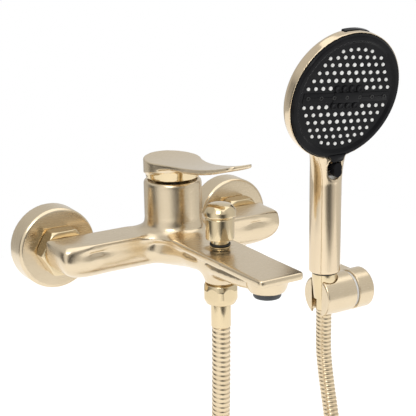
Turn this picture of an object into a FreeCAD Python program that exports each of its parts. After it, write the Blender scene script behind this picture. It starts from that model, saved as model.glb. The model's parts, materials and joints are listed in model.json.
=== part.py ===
"""Wall mounted bath faucet with hand shower, as a parametric FreeCAD document.

Frame, in millimetres: the wall is the plane Y = 0 and the room is on the -Y side, +X runs to the
right as a person facing the wall sees it, +Z is up. The origin is midway between the two supply
inlets, on the wall.
"""
import FreeCAD, Part
import Sketcher
import math
import os
from FreeCAD import Placement, Rotation, Vector

DOC = FreeCAD.newDocument("bath_faucet")
SHEET = DOC.addObject("Spreadsheet::Sheet", "Sizes")
NODES = []

# ---------------------------------------------------------------- driving dimensions

SIZES = [
    ("inlet_half", 75.0, "half the distance between the supply centres"),
    ("thread_half_inch", 10.48, "radius of a G1/2 thread"),
    ("thread_three_quarter", 13.2, "radius of a G3/4 thread"),
    ("supply_bore", 7.5, "radius of the water way in the wall unions"),
    ("wall_thread_len", 20.0, "length of the thread that goes into the wall"),
    ("plate_rad", 29.6, "radius of the wall escutcheon"),
    ("plate_depth", 17.0, "depth of the wall escutcheon"),
    ("nut_flats", 32.0, "size across flats of the inlet union nuts"),
    ("nut_back", 17.6, "distance of the union nut from the wall"),
    ("nut_len", 12.4, "length of the union nut"),
    ("bar_half", 91.0, "half the length of the body bar"),
    ("bar_back", 30.5, "distance of the back of the bar from the wall"),
    ("bar_front", 62.5, "distance of the front of the bar from the wall"),
    ("deck_top", 13.0, "height of the flat top of bar and spout"),
    ("deck_thick", 5.0, "thickness of the flat lip round the top"),
    ("belly_low", -13.5, "height of the underside of the bar"),
    ("end_round", 17.0, "radius of the lower corners of the bar ends"),
    ("spout_tip", 189.5, "distance of the front of the spout from the wall"),
    ("spout_half", 17.0, "half the width of the spout"),
    ("spout_flare", 15.0, "radius where the spout runs out of the bar"),
    ("tower_out", 53.0, "distance of the tower axis from the wall"),
    ("tower_rad", 20.8, "outer radius of the tower"),
    ("tower_top", 49.0, "height of the tower rim"),
    ("bore_rad", 17.6, "radius of the cartridge bore"),
    ("bore_floor", -1.0, "height of the floor of the cartridge bore"),
    ("pivot_high", 20.0, "height of the stem pivot of the cartridge"),
    ("lever_low", 50.4, "height of the lower edge of the lever"),
    ("lever_tip", 144.0, "distance of the lever tip from the wall"),
    ("knob_out", 116.0, "distance of the diverter and hose outlet from the wall"),
    ("outlet_low", -11.0, "height of the hose outlet face"),
    ("aerator_out", 172.0, "distance of the aerator from the wall"),
    ("hose_rad", 6.5, "outer radius of the shower hose"),
    ("hose_length", 1500.0, "length of the shower hose between its ferrules"),
    ("hand_x", 155.0, "place of the handset axis along the wall"),
    ("hand_out", 30.0, "distance of the handset axis from the wall"),
    ("tilt_high", -78.0, "height of the tilting axis of the handset bracket"),
    ("drum_rad", 17.0, "radius of the bracket drums"),
    ("handle_low", -56.5, "height of the lower end of the handle"),
    ("handle_rad", 13.0, "radius of the handle"),
    ("head_rad", 51.5, "radius of the spray face"),
    ("head_out", 55.4, "distance of the centre of the spray face from the wall"),
    ("head_high", 90.9, "height of the centre of the spray face"),
    ("head_tilt", 14.0, "angle by which the spray face looks down, in degrees"),
]


class Dim:
    """A length that carries its number and the sheet expression that drives it."""

    def __init__(self, value, text):
        self.value = float(value)
        self.text = text

    def __add__(self, other):
        return Dim(self.value + num(other), "(%s + %s)" % (self.text, txt(other)))

    def __radd__(self, other):
        return Dim(num(other) + self.value, "(%s + %s)" % (txt(other), self.text))

    def __sub__(self, other):
        return Dim(self.value - num(other), "(%s - %s)" % (self.text, txt(other)))

    def __rsub__(self, other):
        return Dim(num(other) - self.value, "(%s - %s)" % (txt(other), self.text))

    def __mul__(self, other):
        return Dim(self.value * num(other), "(%s * %s)" % (self.text, txt(other)))

    __rmul__ = __mul__

    def __truediv__(self, other):
        return Dim(self.value / num(other), "(%s / %s)" % (self.text, txt(other)))

    def __neg__(self):
        return Dim(-self.value, "(0 - %s)" % self.text)


def num(item):
    return item.value if isinstance(item, Dim) else float(item)


def txt(item):
    return item.text if isinstance(item, Dim) else repr(float(item))


D = {}
for row, (alias, value, note) in enumerate(SIZES, start=1):
    SHEET.set("A%d" % row, alias)
    SHEET.set("B%d" % row, str(value))
    SHEET.set("C%d" % row, note)
    SHEET.setAlias("B%d" % row, alias)
    D[alias] = Dim(value, "Sizes." + alias)
DOC.recompute()

# ---------------------------------------------------------------- helpers

OUTWARD = Rotation(Vector(1, 0, 0), 90)      # local Z looks out of the wall, towards -Y
SIDEWAYS = Rotation(Vector(0, 1, 0), 90)     # local Z looks along +X
UPRIGHT = Rotation()
DOWNWARD = Rotation(Vector(1, 0, 0), 180)


def at(x, y, z, rotation=UPRIGHT):
    return Placement(Vector(num(x), num(y), num(z)), rotation)


def bind(item, path, size):
    """Drive one property by the sheet, or set it when the size is a plain number."""
    if isinstance(size, Dim):
        item.setExpression(path, size.text)
    else:
        setattr(item, path, size)


def node(item, label):
    """Register a finished sub-part under its node name."""
    item.Label = label
    NODES.append(item)
    return item


def cylinder(radius, height, placement):
    item = DOC.addObject("Part::Cylinder", "round")
    bind(item, "Radius", radius)
    bind(item, "Height", height)
    item.Placement = placement
    return item


def box(length, width, height, placement):
    item = DOC.addObject("Part::Box", "block")
    bind(item, "Length", length)
    bind(item, "Width", width)
    bind(item, "Height", height)
    item.Placement = placement
    return item


def prism(circumradius, height, placement, sides=6):
    item = DOC.addObject("Part::Prism", "hexagon")
    item.Polygon = sides
    bind(item, "Circumradius", circumradius)
    bind(item, "Height", height)
    item.Placement = placement
    return item


def ball(radius, placement):
    item = DOC.addObject("Part::Sphere", "ball")
    bind(item, "Radius", radius)
    item.Placement = placement
    return item


def ring(radius, thickness, placement):
    item = DOC.addObject("Part::Torus", "ring")
    bind(item, "Radius1", radius)
    bind(item, "Radius2", thickness)
    item.Placement = placement
    return item


def fuse(parts):
    item = DOC.addObject("Part::MultiFuse", "joined")
    item.Shapes = parts
    item.Refine = True
    return item


def cut(base, *tools):
    item = DOC.addObject("Part::Cut", "bored")
    item.Base = base
    item.Tool = tools[0] if len(tools) == 1 else fuse(list(tools))
    item.Refine = True
    return item


def group(parts):
    """Like pieces that share one node."""
    item = DOC.addObject("Part::Compound", "group")
    item.Links = parts
    return item


def common(first, second):
    item = DOC.addObject("Part::MultiCommon", "overlap")
    item.Shapes = [first, second]
    return item


def rounded(base, radius, chosen):
    """Fillet the edges that chosen(edge) accepts."""
    DOC.recompute()
    picks = [(n, radius, radius) for n, e in enumerate(base.Shape.Edges, start=1) if chosen(e)]
    item = DOC.addObject("Part::Fillet", "rounded")
    item.Base = base
    item.Edges = picks
    return item


def draw(sketch, corners):
    """Closed outline through the corners (x, y) or (x, y, radius): a radius bends the side that
    follows its corner, to the left of the way of travel when it is positive."""
    spots = [Vector(num(c[0]), num(c[1]), 0) for c in corners]
    for n, corner in enumerate(corners):
        start, end = spots[n], spots[(n + 1) % len(spots)]
        if len(corner) == 2:
            sketch.addGeometry(Part.LineSegment(start, end), False)
            continue
        radius = num(corner[2])
        middle, chord = (start + end) * 0.5, end - start
        side = Vector(-chord.y, chord.x, 0).normalize()
        rise = math.sqrt(radius * radius - chord.Length ** 2 / 4)
        centre = middle + side * math.copysign(rise, radius)
        first = math.atan2(start.y - centre.y, start.x - centre.x)
        last = math.atan2(end.y - centre.y, end.x - centre.x)
        circle = Part.Circle(centre, Vector(0, 0, 1), abs(radius))
        if radius > 0:
            sketch.addGeometry(Part.ArcOfCircle(circle, first, last), False)
        else:
            sketch.addGeometry(Part.ArcOfCircle(circle, last, first), False)
    ends = [(1, 2) if len(c) == 2 or num(c[2]) > 0 else (2, 1) for c in corners]
    for n, corner in enumerate(corners):
        follow = (n + 1) % len(corners)
        rule = Sketcher.Constraint("Coincident", n, ends[n][1], follow, ends[follow][0])
        sketch.addConstraint(rule)
        for kind, size in (("DistanceX", corner[0]), ("DistanceY", corner[1])):
            if abs(num(size)) < 1e-9:
                axis = -2 if kind == "DistanceX" else -1
                sketch.addConstraint(Sketcher.Constraint("PointOnObject", n, ends[n][0], axis))
                continue
            rule = Sketcher.Constraint(kind, -1, 1, n, ends[n][0], num(size))
            index = sketch.addConstraint(rule)
            if isinstance(size, Dim):
                sketch.setExpression("Constraints[%d]" % index, size.text)
        if len(corner) == 3:
            rule = Sketcher.Constraint("Radius", n, abs(num(corner[2])))
            index = sketch.addConstraint(rule)
            if isinstance(corner[2], Dim):
                size = corner[2] if num(corner[2]) > 0 else -corner[2]
                sketch.setExpression("Constraints[%d]" % index, size.text)


def turned(label, corners, placement):
    """Body of revolution about its own Z: the corners are (radius, height)."""
    body = DOC.addObject("PartDesign::Body", label + "_body")
    sketch = body.newObject("Sketcher::SketchObject", label + "_profile")
    flat = [f for f in body.Origin.OriginFeatures if f.Role == "XZ_Plane"][0]
    sketch.AttachmentSupport = (flat, [""])
    sketch.MapMode = "FlatFace"
    draw(sketch, corners)
    spin = body.newObject("PartDesign::Revolution", label + "_turn")
    spin.Profile = sketch
    spin.ReferenceAxis = (sketch, ["V_Axis"])
    spin.Angle = 360
    body.Placement = placement
    return body


def tube(label, outer, inner, low, length, x, y, rotation=UPRIGHT):
    """Plain ring or pipe that starts at height low above the point x, y."""
    outline = [(inner, 0), (outer, 0), (outer, length), (inner, length)]
    return node(turned(label, outline, at(x, y, low, rotation)), label)


def slab(corners, thickness, placement):
    """Flat plate of the outline in its own XY plane, thick along its own Z."""
    sketch = DOC.addObject("Sketcher::SketchObject", "outline")
    draw(sketch, corners)
    sketch.Placement = placement
    item = DOC.addObject("Part::Extrusion", "slab")
    item.Base = sketch
    item.DirMode = "Normal"
    item.Solid = True
    bind(item, "LengthFwd", thickness)
    return item


def oval(name, half_x, half_y, placement):
    item = DOC.addObject("Part::Ellipse", name)
    turn = 90 if half_y > half_x else 0
    item.MajorRadius = max(half_x, half_y)
    item.MinorRadius = min(half_x, half_y)
    item.Placement = placement.multiply(Placement(Vector(), Rotation(Vector(0, 0, 1), turn)))
    return item


def loft(sections, ruled=False):
    item = DOC.addObject("Part::Loft", "loft")
    item.Sections = sections
    item.Solid = True
    item.Ruled = ruled
    return item


# ---------------------------------------------------------------- inlets

def inlet(side, sign):
    """Wall union, escutcheon, washer, union nut and tail of one supply."""
    x = D["inlet_half"] * sign
    bore, half_inch, three_quarter = D["supply_bore"], D["thread_half_inch"], D["thread_three_quarter"]
    wall = D["wall_thread_len"]
    shoulder, reach = 6.0, 23.5
    union = [(bore, 0), (half_inch, 0), (half_inch, wall), (half_inch + 4.5, wall),
             (half_inch + 4.5, wall + shoulder), (three_quarter, wall + shoulder),
             (three_quarter, wall + reach), (bore, wall + reach)]
    node(turned(side + "_union", union, at(x, wall, 0, OUTWARD)), side + "_wall_union")

    rim, depth, shell = D["plate_rad"], D["plate_depth"], 2.0
    plate = [(rim - shell, 0), (rim + 0.4, 0), (rim, depth - 1.6), (rim - 1.6, depth),
             (three_quarter + 0.3, depth), (three_quarter + 0.3, depth - shell),
             (rim - shell - 0.6, depth - shell)]
    node(turned(side + "_plate", plate, at(x, 0, 0, OUTWARD)), side + "_escutcheon")

    seal = turned(side + "_seal", [(bore, 0), (12.0, 0), (12.0, 2.0), (bore, 2.0)],
                  at(x, -reach, 0, OUTWARD))

    back, length = D["nut_back"], D["nut_len"]
    hexagon = prism(D["nut_flats"] / math.sqrt(3), length, at(x, -back, 0, OUTWARD))
    crown = [(0, 0), (D["nut_flats"] / 2 + 0.4, 0), (D["nut_flats"] / 2 + 2.6, 2.2),
             (D["nut_flats"] / 2 + 2.6, length - 2.2), (D["nut_flats"] / 2 + 0.4, length), (0, length)]
    crowned = common(hexagon, turned(side + "_crown", crown, at(x, -back, 0, OUTWARD)))
    thread = cylinder(three_quarter + 0.05, length - 2.0, at(x, -back - 0.0, 0, OUTWARD))
    neck = cylinder(10.7, length + 2, at(x, -back + 1, 0, OUTWARD))
    node(cut(crowned, thread, neck), side + "_union_nut")

    collar, tail = 2.4, 16.0
    spigot = [(bore, 0), (12.8, 0), (12.8, collar), (10.4, collar), (10.4, tail), (bore, tail)]
    node(turned(side + "_tail", spigot, at(x, -reach - 2.0, 0, OUTWARD)), side + "_inlet_tail")
    return seal


node(group([inlet("hot", -1), inlet("cold", 1)]), "inlet_washers")

# ---------------------------------------------------------------- body casting

TOWER = (0, -D["tower_out"])
KNOB = (0, -D["knob_out"])


def deck():
    """The flat lip that runs round the top of bar and spout, seen from above."""
    half, back, front = D["bar_half"], D["bar_back"], D["bar_front"]
    arm, flare, tip = D["spout_half"], D["spout_flare"], D["spout_tip"]
    nose = 11.0
    right = [(half, -back - 3), (half, -front + nose, -nose), (half - nose, -front),
             (arm + flare + 1.5, -front, flare), (arm + 1.5, -front - flare), (arm, -tip + 3, -3.0),
             (arm - 3, -tip)]
    left = [(-(arm - 3), -tip, -3.0), (-arm, -tip + 3), (-(arm + 1.5), -front - flare, flare),
            (-(arm + flare + 1.5), -front), (-(half - nose), -front, -nose), (-half, -front + nose),
            (-half, -back - 3)]
    return slab(right + left, D["deck_thick"], at(0, 0, D["deck_top"] - D["deck_thick"]))


def prism_along_x(section, length):
    """Section drawn as (distance from the wall, height), run along X about the middle."""
    turn = Rotation(Vector(0, -1, 0), Vector(0, 0, 1), Vector(-1, 0, 0), "ZXY")
    return slab(section, length, Placement(Vector(num(length) / 2, 0, 0), turn))


def body_casting():
    back, front, low, top = D["bar_back"], D["bar_front"], D["belly_low"], D["deck_top"]
    half, bend = D["bar_half"], D["end_round"]
    under = top - D["deck_thick"]
    section = [(back, low + 7, 7.0), (back + 7, low), (front - 14, low, 15.5),
               (front - 0.6, 1.0, 7.0), (front - 3.2, under), (front - 3.2, top - 1),
               (back, top - 1)]
    bar = prism_along_x(section, half * 2)
    # the bar seen from the front: square above, large rounds below
    face = [(half, top), (-half, top), (-half, low + bend, bend),
            (-(half - bend), low), (half - bend, low, bend), (half, low + bend)]
    mask = slab(face, 60.0, at(0, -back + 10, 0, OUTWARD))
    bar = common(bar, mask)

    root = -front + 6.0
    keel = loft([oval("keel_root", 30.0, 11.8, at(0, root, -1.4, OUTWARD)),
                 oval("keel_flare", 20.0, 11.6, at(0, root - 11.0, -1.0, OUTWARD)),
                 oval("keel_neck", 16.5, 10.8, at(0, root - 24.0, 0.4, OUTWARD)),
                 oval("keel_mid", 15.0, 8.5, at(0, -D["knob_out"] - 16, 3.5, OUTWARD)),
                 oval("keel_tip", 12.5, 6.0, at(0, -D["aerator_out"], 5.5, OUTWARD))])

    tower = [(0, -9.0), (15.0, -9.0, 6.0), (D["tower_rad"], -3.0), (D["tower_rad"], D["tower_top"] - 1.4),
             (D["tower_rad"] - 1.6, D["tower_top"]), (0, D["tower_top"])]
    tower = turned("tower", tower, at(*TOWER, 0))

    foot = D["tower_rad"]
    skirt = turned("tower_fillet", [(0, top - 2), (foot + 5, top - 2), (foot + 5, top, -5.0),
                                    (foot, top + 5), (0, top + 5)], at(*TOWER, 0))
    outlet = [(0, D["outlet_low"]), (10.8, D["outlet_low"]), (12.0, D["outlet_low"] + 5, 22.0),
              (16.0, 8.0), (0, 8.0)]
    outlet = turned("outlet_boss", outlet, at(*KNOB, 0))
    cone = turned("knob_boss", [(0, 12.0), (9.5, 12.0), (9.5, top, -9.0), (7.2, top + 1.2),
                                (0, top + 1.2)], at(*KNOB, 0))
    nose = [(0, -1.0), (11.5, -1.0), (12.6, 1.0), (14.5, 8.0), (0, 8.0)]
    nose = turned("aerator_boss", nose, at(0, -D["aerator_out"], 0))
    solid = fuse([deck(), bar, keel, tower, skirt, outlet, cone, nose])

    way = 4.2
    ports = []
    for sign in (-1, 1):
        x = D["inlet_half"] * sign
        ports.append(cylinder(10.5, 14.0, at(x, -back + 1, 0, OUTWARD)))
        ports.append(cylinder(7.0, 26.0, at(x, -back, 0, OUTWARD)))
        turn = Rotation(Vector(0, 1, 0), -90 * sign)
        ports.append(cylinder(way, D["inlet_half"] - 5.0, at(x, -D["tower_out"], -5.0, turn)))
        ports.append(cylinder(3.0, 8.0, at(7.0 * sign, -D["tower_out"], -6.0)))
    well = cylinder(D["bore_rad"], D["tower_top"] - D["bore_floor"] + 1, at(*TOWER, D["bore_floor"]))
    slope = math.degrees(math.atan2(9.0, 112.0))
    run = Rotation(Vector(1, 0, 0), 90 - slope)
    spout_way = cylinder(way, 113.0, at(0, -D["tower_out"] - 7.0, -4.0, run))
    drop = cylinder(3.0, 8.0, at(0, -D["tower_out"] - 7.0, -6.0))
    chamber = cylinder(8.0, 15.0, at(*KNOB, D["outlet_low"] + 3.0))
    gland = cylinder(5.0, 12.0, at(*KNOB, 5.0))
    thread = cylinder(9.05, 5.0, at(*KNOB, D["outlet_low"] - 1))
    mouth = cylinder(9.2, 8.0, at(0, -D["aerator_out"], -4.0))
    riser = cylinder(6.0, 4.5, at(0, -D["aerator_out"], 3.0))
    return cut(solid, well, spout_way, drop, chamber, gland, thread, mouth, riser, *ports)


node(body_casting(), "body_casting")


# ---------------------------------------------------------------- cartridge

PIVOT = D["pivot_high"]
FLOOR = D["bore_floor"]


def cartridge():
    case = D["bore_rad"] - 0.15
    housing = [(0, 0), (case, 0), (case, 39.0), (13.6, 39.0), (13.6, 36.0), (15.8, 36.0), (15.8, 3.0),
               (0, 3.0)]
    housing = turned("cartridge_housing", housing, at(*TOWER, FLOOR + 1.0))
    spots = [(7.0, 0), (-7.0, 0), (0, -7.0)]
    holes = [cylinder(3.0, 6.0, at(x, TOWER[1] + y, FLOOR)) for x, y in spots]
    node(cut(housing, *holes), "cartridge_housing")
    seals = [cut(cylinder(4.2, 0.95, at(x, TOWER[1] + y, FLOOR)),
                 cylinder(3.0, 3.0, at(x, TOWER[1] + y, FLOOR - 1))) for x, y in spots]
    node(group(seals), "cartridge_seals")

    disc = cylinder(14.0, 3.0, at(*TOWER, FLOOR + 4.05))
    holes = [cylinder(2.8, 6.0, at(x, TOWER[1] + y, FLOOR + 3)) for x, y in spots]
    node(cut(disc, *holes), "ceramic_fixed_disc")
    disc = cylinder(12.0, 3.0, at(*TOWER, FLOOR + 7.1))
    pocket = DOC.addObject("Part::Box", "channel")
    pocket.Length, pocket.Width, pocket.Height = 16.0, 13.0, 1.8
    pocket.Placement = at(-8.0, TOWER[1] - 9.0, FLOOR + 7.0)
    node(cut(disc, pocket), "ceramic_moving_disc")
    carrier = cylinder(12.0, 4.0, at(*TOWER, FLOOR + 10.15))
    socket = cylinder(3.4, 6.0, at(*TOWER, FLOOR + 11.5))
    node(cut(carrier, socket), "disc_carrier")

    rotor = [(5.4, 0), (14.8, 0), (14.8, 18.0), (13.2, 18.0), (13.2, 20.5), (9.0, 20.5), (5.4, 16.0)]
    rotor = turned("rotor", rotor, at(*TOWER, FLOOR + 15.0))
    slot = box(9.0, 28.0, 24.0, at(-4.5, TOWER[1] - 14.0, FLOOR + 14.0))
    keep = cylinder(10.6, 24.0, at(*TOWER, FLOOR + 14.0))
    pin_hole = cylinder(1.6, 40.0, at(-20.0, TOWER[1], PIVOT, SIDEWAYS))
    node(cut(rotor, common(slot, keep), pin_hole), "cartridge_rotor")
    node(cylinder(1.5, 22.0, at(-11.0, TOWER[1], PIVOT, SIDEWAYS)), "stem_pin")

    stem = box(8.0, 8.0, 36.5, at(-4.0, TOWER[1] - 4.0, PIVOT + 1.5))
    neck = box(8.0, 6.0, 6.0, at(-4.0, TOWER[1] - 3.0, PIVOT - 3.0))
    finger = cylinder(2.6, 6.0, at(*TOWER, PIVOT - 8.2))
    bore = cylinder(1.6, 12.0, at(-6.0, TOWER[1], PIVOT, SIDEWAYS))
    node(cut(fuse([stem, neck, finger]), bore), "cartridge_stem")

    nut = [(13.7, 0), (D["bore_rad"] - 0.1, 0), (D["bore_rad"] - 0.1, 6.5), (15.0, 6.5), (13.7, 5.0)]
    node(turned("cartridge_nut", nut, at(*TOWER, FLOOR + 40.05)), "cartridge_nut")


cartridge()

# ---------------------------------------------------------------- lever


def lever():
    """Round cap whose top dips forward and sweeps up again into a thin paddle over the spout."""
    out, cap, low = D["tower_out"], 20.6, D["lever_low"]
    tip, blade = D["lever_tip"], 9.5
    # plan of the paddle: two long hollow flanks that run out of the cap, and a rounded tip
    root, waist = out + 9.0, out + 42.0
    plan = [(18.6, -root, 90.0), (12.0, -waist), (blade, -tip + 5, -5.0), (blade - 5, -tip),
            (-(blade - 5), -tip, -5.0), (-blade, -tip + 5), (-12.0, -waist, 90.0), (-18.6, -root)]
    plan = slab(plan, 40.0, at(0, 0, low - 2))
    # side views, drawn as (distance from the wall, height)
    sheet = [(out + 20, 60.5, 190.0), (tip + 1, 74.0), (tip + 1, 76.2, -270.0), (out - 22, 65.2),
             (out - 22, 57.0), (out, 57.0)]
    paddle = common(plan, prism_along_x(sheet, 60.0))
    under_top = [(out - 22, low - 10), (tip + 1, low - 10), (tip + 1, 76.2, -270.0), (out - 22, 65.2)]
    over_skirt = [(out - 22, 51.4), (out + 22, 58.4), (out + 22, 80.0), (out - 22, 80.0)]
    wall = common(cylinder(cap, 18.0, at(*TOWER, low)), prism_along_x(over_skirt, 60.0))
    skirt = turned("lever_skirt", [(0, low), (18.9, low), (20.2, low + 9.0), (0, low + 9.0)], at(*TOWER, 0))
    cap_solid = common(fuse([skirt, wall]), prism_along_x(under_top, 60.0))
    solid = fuse([paddle, cap_solid])
    hollow = ball(35.1, at(*TOWER, PIVOT))
    column = cylinder(18.3, 20.0, at(*TOWER, low - 10))
    boss = cylinder(6.4, 30.0, at(*TOWER, low + 1.0))
    hollow = cut(common(hollow, column), boss)
    socket = box(8.1, 8.1, 12.0, at(-4.05, TOWER[1] - 4.05, low - 4))
    screw_way = cylinder(2.5, 20.0, at(0, -out + 21.0, low + 6.4, OUTWARD))
    plug_way = cylinder(3.0, 5.0, at(0, -out + 21.6, low + 6.4, OUTWARD))
    node(cut(solid, hollow, socket, screw_way, plug_way), "lever")
    screw = cylinder(2.45, 9.0, at(0, -out + 13.2, low + 6.4, OUTWARD))
    node(cut(screw, prism(1.4, 3.0, at(0, -out + 14.2, low + 6.4, OUTWARD))), "lever_grub_screw")
    node(cylinder(2.9, 2.6, at(0, -out + 19.6, low + 6.4, OUTWARD)), "lever_screw_plug")


lever()

# ---------------------------------------------------------------- diverter


def diverter():
    top = D["deck_top"]
    knob = turned("knob", [(6.5, 0), (9.9, 0), (9.9, 14.6), (10.4, 15.2), (11.1, 16.8),
                           (11.1, 20.2, 4.6), (7.0, 24.2), (2.3, 24.6), (2.3, 13.0), (6.5, 13.0)],
                  at(*KNOB, top + 7.0))
    node(knob, "diverter_knob")
    node(cylinder(2.25, 46.0, at(*KNOB, -6.0)), "diverter_rod")
    bush = [(2.45, 0), (4.9, 0), (4.9, 7.2), (7.0, 7.2), (7.0, 8.0), (6.1, 8.6), (6.1, 18.0),
            (2.45, 18.0)]
    node(turned("bush", bush, at(*KNOB, 7.0)), "diverter_bush")
    node(cut(cylinder(7.1, 0.9, at(*KNOB, top + 2.7)),
             cylinder(6.15, 3.0, at(*KNOB, top + 1.0))), "diverter_o_ring")
    piston = [(2.25, 0), (5.2, 0), (5.2, 0.8), (4.4, 0.8), (4.4, 2.2), (5.2, 2.2), (5.2, 3.0), (2.25, 3.0)]
    node(turned("piston", piston, at(*KNOB, -5.5)), "diverter_piston")
    tube("diverter_seal", 6.6, 4.45, -4.65, 1.3, *KNOB)


diverter()

# ---------------------------------------------------------------- aerator


def aerator():
    x, y = 0, -D["aerator_out"]
    shell = [(7.2, 0), (8.6, 0), (9.1, 0.8), (9.1, 7.0), (7.2, 7.0)]
    node(turned("aerator_shell", shell, at(x, y, -4.8)), "aerator_housing")
    mesh = cylinder(7.1, 5.0, at(x, y, -3.9))
    holes = []
    for step_x in range(-2, 3):
        for step_y in range(-2, 3):
            if abs(step_x) + abs(step_y) < 4:
                holes.append(box(1.8, 1.8, 8.0, at(step_x * 2.5 - 0.9, y + step_y * 2.5 - 0.9, -6.0)))
    node(cut(mesh, *holes), "aerator_insert")
    tube("aerator_washer", 8.9, 6.0, 2.4, 1.6, x, y)


aerator()

# ---------------------------------------------------------------- shower hose, faucet end

HOSE = D["hose_rad"]
OUT = D["outlet_low"]


def hose_fittings():
    node(turned("nipple", [(5.5, 0), (9.0, 0), (9.0, 13.0), (5.5, 13.0)], at(*KNOB, OUT - 10.0)),
         "hose_outlet_nipple")
    barrel = turned("barrel", [(0, 0), (10.2, 0), (12.2, 4.0), (12.2, 10.4), (10.8, 14.0), (0, 14.0)],
                    at(*KNOB, OUT - 14.6))
    bore = cylinder(9.05, 14.0, at(*KNOB, OUT - 13.05))
    neck = cylinder(6.0, 20.0, at(*KNOB, OUT - 16.0))
    sides = []
    for turn in range(6):
        angle = 60.0 * turn - 31.0
        away = Placement(Vector(num(KNOB[0]), num(KNOB[1]), num(OUT) - 16.0), Rotation(Vector(0, 0, 1), angle))
        sides.append(box(6.0, 24.0, 18.0, away.multiply(Placement(Vector(11.35, -12.0, 0), Rotation()))))
    node(cut(barrel, bore, neck, *sides), "hose_nut")
    tube("hose_washer", 8.8, 5.5, OUT - 11.5, 1.4, *KNOB)
    node(turned("lower_ferrule", [(4.4, 0), (6.9, 0), (6.9, 16.4), (5.9, 16.6), (5.9, 19.0), (8.6, 19.0),
                                  (8.6, 20.4), (4.4, 20.4)], at(*KNOB, OUT - 32.0)), "lower_ferrule")


hose_fittings()

# ---------------------------------------------------------------- handset bracket

HAND = (D["hand_x"], -D["hand_out"])
AXIS = D["tilt_high"]


def bracket():
    """Fixed drum on a foot, and a slotted drum beside it that tilts about their common axis."""
    drum, out = D["drum_rad"], D["hand_out"]
    x = num(D["hand_x"])
    left, split, far = x - 8.0, x + 23.3, x + 41.2
    width, mid = far - split - 3.4, (far + split + 1.6) / 2
    body = turned("drum", [(0, 0), (drum, 0), (drum, far - split - 3.6), (drum - 2.0, far - split - 1.6),
                           (0, far - split - 1.6)], at(split + 1.6, HAND[1], AXIS, SIDEWAYS))
    foot = box(width, out, 26.0, at(split + 1.8, -out, AXIS - 14.0))
    well = box(width - 3.0, 12.0, 20.0, at(split + 3.3, -9.0, AXIS - 11.0))
    pin_hole = cylinder(4.1, 13.0, at(split, HAND[1], AXIS, SIDEWAYS))
    grub_way = cylinder(2.0, 8.0, at(mid, -5.0, AXIS - 15.0))
    node(cut(fuse([body, foot]), well, pin_hole, grub_way), "bracket_base")

    plate = box(width - 3.4, 3.0, 19.6, at(split + 3.5, -3.0, AXIS - 10.8))
    rib = box(width - 3.4, 4.0, 3.0, at(split + 3.5, -7.0, AXIS - 10.8))
    heights = (AXIS - 3.5, AXIS + 4.5)
    holes = [cylinder(3.3, 5.0, at(mid, 1.0, level, OUTWARD)) for level in heights]
    node(cut(fuse([plate, rib]), *holes), "bracket_wall_plate")
    screws = []
    for level in heights:
        shank = cylinder(2.0, 29.0, at(mid, 25.0, level, OUTWARD))
        head = cylinder(3.7, 2.2, at(mid, -3.05, level, OUTWARD))
        screws.append(fuse([shank, head]))
    node(group(screws), "bracket_wall_screws")
    node(cylinder(1.9, 3.9, at(mid, -5.0, AXIS - 14.8)), "bracket_grub_screw")

    length = split - left
    cradle = turned("cradle", [(0, 0), (drum - 1.0, 0), (drum, 1.0), (drum, length - 1.2), (0, length - 1.2)],
                    at(left, HAND[1], AXIS, SIDEWAYS))
    seat = turned("seat_cone", [(0, 0), (9.0, 0), (10.9, 36.0), (0, 36.0)], at(*HAND, AXIS - 18.0))
    slot = box(x - left + 1.0, 13.6, 40.0, at(left - 1.0, HAND[1] - 6.8, AXIS - 20.0))
    socket = cylinder(4.1, 14.0, at(split - 10.5, HAND[1], AXIS, SIDEWAYS))
    node(cut(cradle, seat, slot, socket), "bracket_cradle")
    tube("bracket_washer", 15.4, 4.2, AXIS, 2.4, split - 1.0, HAND[1], SIDEWAYS)
    node(cylinder(4.0, 21.0, at(split - 9.0, HAND[1], AXIS, SIDEWAYS)), "bracket_pivot_pin")


bracket()

# ---------------------------------------------------------------- handset

HANDLE = D["handle_low"]
FACE = Rotation(Vector(1, 0, 0), 90 + 15.0)


def on_face(depth):
    """Placement on the axis of the spray face, so far behind its plane, local Z looking outwards."""
    tilt = math.radians(num(D["head_tilt"]))
    y = -num(D["head_out"]) + depth * math.cos(tilt)
    z = num(D["head_high"]) + depth * math.sin(tilt)
    return at(D["hand_x"], y, z, Rotation(Vector(1, 0, 0), 90 + num(D["head_tilt"])))


def jet_block(length, width, inner, outer):
    """Piece of a ring round the head, at the top of its rim."""
    hoop = cut(cylinder(outer, 12.0, on_face(12.0)), cylinder(inner, 14.0, on_face(13.0)))
    spin = Placement(Vector(), Rotation(Vector(0, 0, 1), -4.7))
    place = on_face(9.0).multiply(spin).multiply(Placement(Vector(-length / 2, 40.0, -width / 2), Rotation()))
    return common(hoop, box(length, 30.0, width, place))


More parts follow.
